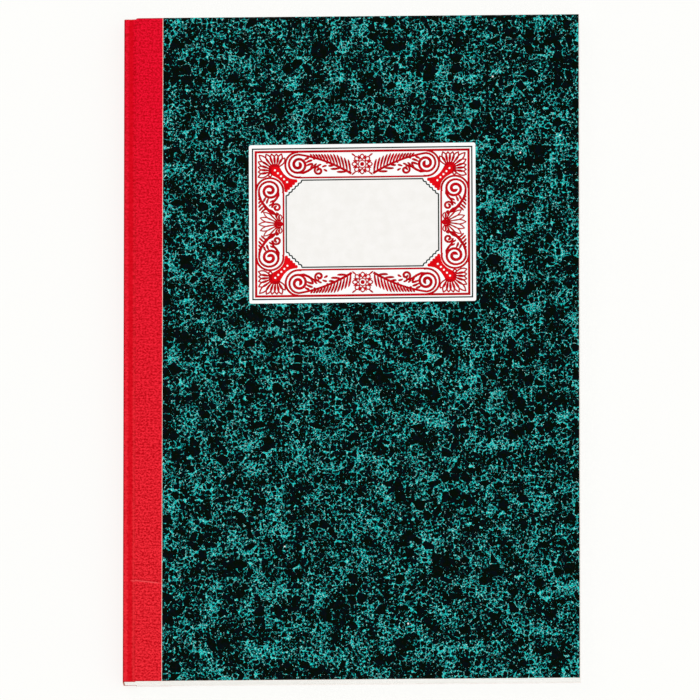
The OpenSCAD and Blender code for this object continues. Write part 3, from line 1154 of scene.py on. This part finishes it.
def shortBranch():
    s = labelSet
    cx, cy, r = s["scrollAlong"] - s["shortBack"], s["bandMiddle"], s["scrollRadius"]
    strokes = scrollStrokes(cx, cy, r)
    curlR = s["curlRadius"] - 0.1
    curlX, curlY = cx + r + 3.2, s["bandInner"] - curlR - 0.7
    strokes.append(spiralStroke(curlX, curlY, 0.4, curlR, 1.3, 0.52, 0.42, 18))
    strokes.append(strokeAt(cx, cy, branchSet["shortStalk"]))
    strokes.append(strokeAt(cx, cy, branchSet["shortStem"]))
    strokes += leavesAround(cx, cy, 3.6, ((-30, -6, 2.4), (-8, -24, 2.8)), 0.46)
    strokes += leavesAt(cx, cy, branchSet["sprays"], 0.42)
    strokes += leavesAt(cx, cy, branchSet["shortLeaves"], 0.4)
    strokes += leavesAround(curlX, curlY, curlR + 0.25, ((-40, 30, 1.6), (0, 40, 1.4)), 0.4)
    return strokes


def cornerStrokes():
    s = labelSet
    at = s["fanAt"]
    strokes = []
    shortAlong = s["scrollAlong"] - s["shortBack"]
    scrolls = ((s["scrollAlong"], s["bandMiddle"]), (s["bandMiddle"], shortAlong))
    ring = s["scrollRadius"] + s["scrollGap"]
    for number in range(-s["fanPetals"], s["fanPetals"] + 1):
        angle = 225 + number * s["fanStep"]
        reach = 1.0
        while reach < 10.6:
            tipX, tipY = toward(at, at, angle, reach)
            off = min(math.hypot(tipX - cx, tipY - cy) for cx, cy in scrolls)
            if min(tipX, tipY) < s["bandOuter"] + 0.65 or off < ring + 1.1:
                break
            reach += 0.1
        if reach > 3:
            strokes.append(petalStroke(at, at, angle, 2.0, reach, 0.68 + 0.05 * reach))
    return strokes


# solid heart along the diagonal: how far along, and half its width
heartSet = {
    "outline": (
        (9.8, 0.8), (10.4, 1.9), (11.3, 2.6), (12.4, 2.7), (13.6, 2.2), (15.0, 1.75),
        (16.4, 1.75), (17.6, 2.2), (18.6, 3.1), (19.2, 3.7), (19.5, 3.2),
    ),
    "scallops": (6.0, 4.9, 3.75, 2.6, 1.5),  # of its foot beside the panel
    "scallopHalf": 0.85,
}


def heartStrokes():
    s = heartSet
    strokes = [[(along, along, half) for along, half in s["outline"]]]
    foot = labelSet["keyInner"] - 1.15
    for along in s["scallops"]:
        strokes.append(dotStroke(foot + along, foot + 7.5 - along, s["scallopHalf"]))
    return strokes


def rosetteStrokes(x, y, radius):
    strokes = [dotStroke(x, y, 1.0), arcStroke(x, y, 1.75, 0, 360, 0.24)]
    for number in range(8):
        strokes.append(petalStroke(x, y, number * 45, 2.0, radius, 0.95))
        angle = number * 45 + 22.5
        strokes.append(leafStroke(*toward(x, y, angle, 2.4), angle, radius - 2.5, 0.34))
    for side in (-1, 1):
        for sideY in (-1, 1):
            angle = 90 * sideY - side * sideY * 52
            strokes.append(leafStroke(x + side * 3.0, y + sideY * 3.6, angle, 2.4, 0.4))
    return strokes


def palmetteStrokes(x, y):
    strokes = [dotStroke(x, y, 1.3), dotStroke(x - 1.6, y, 1.0)]
    for number, reach in enumerate((9.9, 9.7, 9.5, 8.6, 5.6, 4.4)):
        for side in ((1, -1) if number else (1,)):
            angle = 180 + side * number * 18
            strokes.append(petalStroke(x, y, angle, 1.3, reach, 0.62 + reach * 0.045))
    return strokes


def aside(across):
    # how far from the short edge something lies that is this far from the long edge
    return across * labelSet["sideStretch"] + labelSet["sideShift"]


def swapped(strokes):
    return [[(aside(y), x, half) for x, y, half in stroke] for stroke in strokes]


def scallopPoints():
    # the cut corner of the writing panel
    s = labelSet
    points = []
    for step in range(31):
        share = step / 30
        bulge = 0.42 * abs(math.sin(5 * math.pi * share))
        x = aside(s["keyInner"]) + s["cutCorner"] * (1 - share)
        points.append((x + bulge, s["keyInner"] + s["cutCorner"] * share + bulge))
    return points


def makePanel():
    s = labelSet
    corner = [(x - s["halfWidth"], s["halfHeight"] - y) for x, y in scallopPoints()]
    back = corner[::-1]
    outline = corner + [(x, -y) for x, y in back]
    outline += [(-x, -y) for x, y in corner] + [(-x, y) for x, y in back]
    curve = bpy.data.curves.new("panel", "CURVE")
    curve.dimensions = "2D"
    curve.fill_mode = "BOTH"
    curve.extrude = s["panelHalf"] * mm
    addLine(curve, [(x, y, 1) for x, y in outline]).use_cyclic_u = True
    panel = meshFromCurve("panel", curve)
    panel.data.transform(Matrix.Translation((0, 0, s["panelLevel"] * mm)))
    faceOut(panel)
    return joinOnLabel([panel], "labelPanel")


def frameStrokes(at, half, cut=0):
    # two lines of a frame, each drawn to the middle of its side
    s = labelSet
    first = cut or -half
    return [
        [(aside(at) + first, at, half), (s["halfWidth"], at, half)],
        [(aside(at), at + first, half), (aside(at), s["halfHeight"], half)],
    ]


def keylineStrokes():
    # thin dark lines: the outer frame and the panel's edge with its scalloped corner
    s = labelSet
    strokes = frameStrokes(s["keyOuter"], s["keyHalf"])
    strokes += frameStrokes(s["keyInner"], s["keyHalf"], s["cutCorner"])
    strokes.append([(x, y, s["keyHalf"]) for x, y in scallopPoints()])
    return strokes


def drawStrokes(name, strokes, level=labelSet["inkLevel"], rise=labelSet["inkHalf"]):
    # strokes as one curve with a width at each point, made a mesh and pressed flat
    curve = bpy.data.curves.new(name, "CURVE")
    curve.dimensions = "3D"
    curve.twist_mode = "Z_UP"
    curve.bevel_depth = mm
    curve.bevel_resolution = 0
    curve.use_fill_caps = True
    for stroke in strokes:
        addLine(curve, [(x, -y, half) for x, y, half in stroke])
    piece = meshFromCurve(name, curve)
    bpy.ops.object.shade_flat()
    for vert in piece.data.vertices:
        side = 0 if abs(vert.co.z) < 0.00001 else math.copysign(1, vert.co.z)
        vert.co.z = (level + side * rise) * mm
    return piece


def toFourCorners(quarter, name):
    s = labelSet
    corner = Matrix.Translation((-s["halfWidth"] * mm, s["halfHeight"] * mm, 0))
    parts = []
    for sideX in (1, -1):
        for sideY in (1, -1):
            part = copyOf(quarter)
            part.data.transform(Matrix.Diagonal((sideX, sideY, 1, 1)) @ corner)
            parts.append(part)
    bpy.data.objects.remove(quarter)
    return joinOnLabel(parts, name)


def joinOnLabel(parts, name):
    s = labelSet
    piece = joinParts(parts, name)
    place = Matrix.Translation((s["middle"][0] * mm, s["middle"][1] * mm, 0))
    piece.data.transform(place @ Matrix.Rotation(math.radians(s["turn"]), 4, "Z"))
    faceOut(piece, weld=False)
    return piece


def makeBorder():
    s = labelSet
    strokes = cornerStrokes() + longBranch() + swapped(shortBranch())
    strokes = [[(x, y, half * s["inkSpread"]) for x, y, half in stroke] for stroke in strokes]
    strokes += frameStrokes(s["frameAt"], s["frameHalf"])
    line, half = s["innerAt"], s["innerHalf"]
    # the inner line stops at the panel's cut corners
    strokes.append([(line + s["cutCorner"], line, half), (s["halfWidth"], line, half)])
    strokes.append(frameStrokes(line, half, s["cutCorner"])[1])
    return toFourCorners(drawStrokes("borderQuarter", strokes), "labelBorder")


def makeMiddles():
    # rosettes at the middle of the long sides, palmettes at the short ones
    s = labelSet
    parts = []
    for side in (1, -1):
        rosette = drawStrokes("rosette", rosetteStrokes(0, 0, s["rosetteRadius"]))
        up = Matrix.Translation((0, side * (s["halfHeight"] - s["bandMiddle"]) * mm, 0))
        rosette.data.transform(up @ Matrix.Diagonal((1, side, 1, 1)))
        palmette = drawStrokes("palmette", palmetteStrokes(s["palmetteAt"] - s["halfWidth"], 0))
        palmette.data.transform(Matrix.Diagonal((side, 1, 1, 1)))
        parts += [rosette, palmette]
    return joinOnLabel(parts, "labelRosettes")


def makeBeads():
    s = labelSet
    places = [s["beadsFrom"] + number * s["beadStep"] for number in range(s["beads"])]
    beads = [dotStroke(at, at, 0.5) for at in places]
    quarter = drawStrokes("beadQuarter", beads, s["beadLevel"], s["beadHalf"])
    return toFourCorners(quarter, "labelBeads")


def makeLabelPrint(made):
    border = makeBorder()
    hearts = toFourCorners(drawStrokes("heartQuarter", heartStrokes()), "labelHearts")
    keylines = toFourCorners(drawStrokes("keylineQuarter", keylineStrokes()), "labelKeylines")
    middles = makeMiddles()
    beads = makeBeads()
    panel = makePanel()
    plan = (
        (border, "redLines", "red_ink"),
        (middles, "redLines", "red_ink"),
        (hearts, "redInk", "red_ink"),
        (beads, "label", "label_paper"),
        (keylines, "darkInk", "dark_ink"),
        (panel, "panel", "panel_tint"),
    )
    for piece, key, ink in plan:
        paint(piece, made[key])
        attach(piece, "front_cover")
    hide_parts("label_ornament")
    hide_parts("label_keylines")
    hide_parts("label_panel")
    print("label print made:", len(border.data.polygons), "faces")


def paintCadNodes(made):
    plan = {
        "front_board": "board",
        "back_board": "board",
        "sewing_thread": "thread",
        "spine_liner": "liner",
        "label": "label",
    }
    for name, key in plan.items():
        node = nodes[name]
        if len(node.material_slots) == 0:
            node.data.materials.append(made[key])
        for place in node.material_slots:
            place.material = made[key]
    print("CAD nodes painted:", len(plan))


# floor, world and lamps
studioSet = {
    "floor": linear(248, 247, 244),
    "backdrop": linear(255, 255, 253),
    "glow": 0.82,  # how much of the floor the camera sees as plain backdrop
    "world": 0.86,
    "key": 5.4,
    "fill": 5.6,
}


def mixShaders(tree, amount, first, second, output):
    inputs = {0: amount, 1: first.outputs[0], 2: second.outputs[0]}
    mixed = addNode(tree, "ShaderNodeMixShader", inputs)
    tree.links.new(mixed.outputs[0], tree.nodes[output].inputs["Surface"])


def makeFloor():
    clearSelection()
    bpy.ops.mesh.primitive_plane_add(size=12, location=(0, 0, 0))
    floor = bpy.context.object
    floor.name = "studioFloor"
    material, tree, shader = newMaterial("paleFloor", 0.9, 0.1)
    shader.inputs["Base Color"].default_value = studioSet["floor"]
    glow = addNode(tree, "ShaderNodeEmission", {"Color": studioSet["backdrop"], "Strength": 1.0})
    rays = addNode(tree, "ShaderNodeLightPath")
    seen = times(tree, rays.outputs["Is Camera Ray"], studioSet["glow"])
    mixShaders(tree, seen, shader, glow, "Material Output")
    floor.data.materials.append(material)


def makeWorld():
    world = bpy.data.worlds.new("studioWorld")
    world.use_nodes = True
    tree = world.node_tree
    soft = tree.nodes["Background"]
    soft.inputs["Color"].default_value = (1, 1, 1, 1)
    soft.inputs["Strength"].default_value = studioSet["world"]
    inputs = {"Color": studioSet["backdrop"], "Strength": 1.0}
    seen = addNode(tree, "ShaderNodeBackground", inputs)
    rays = addNode(tree, "ShaderNodeLightPath")
    mixShaders(tree, rays.outputs["Is Camera Ray"], soft, seen, "World Output")
    bpy.context.scene.world = world


def makeLamp(name, place, size, power):
    data = bpy.data.lights.new(name, "AREA")
    data.shape = "SQUARE"
    data.size = size
    data.energy = power
    lamp = newObject(name, data)
    lamp.location = place
    aim = Vector((0, 0, 0)) - Vector(place)
    lamp.rotation_euler = aim.to_track_quat("-Z", "Y").to_euler()


def makeStudio():
    makeFloor()
    makeWorld()
    makeLamp("keyLamp", (-0.9, 0.7, 1.8), 1.4, studioSet["key"])
    makeLamp("fillLamp", (0.9, -1.4, 1.1), 1.6, studioSet["fill"])
    bpy.context.scene.view_settings.view_transform = "Standard"
    print("studio made")


makeCamera()
made = makeMaterials()
makeCloth(made)
makeCoverPaper(made)
makeLeaves(made)
makeEndpapers(made)
makeMull(made)
makeLabelPrint(made)
paintCadNodes(made)
makeStudio()
clearSelection()
bpy.context.view_layer.update()
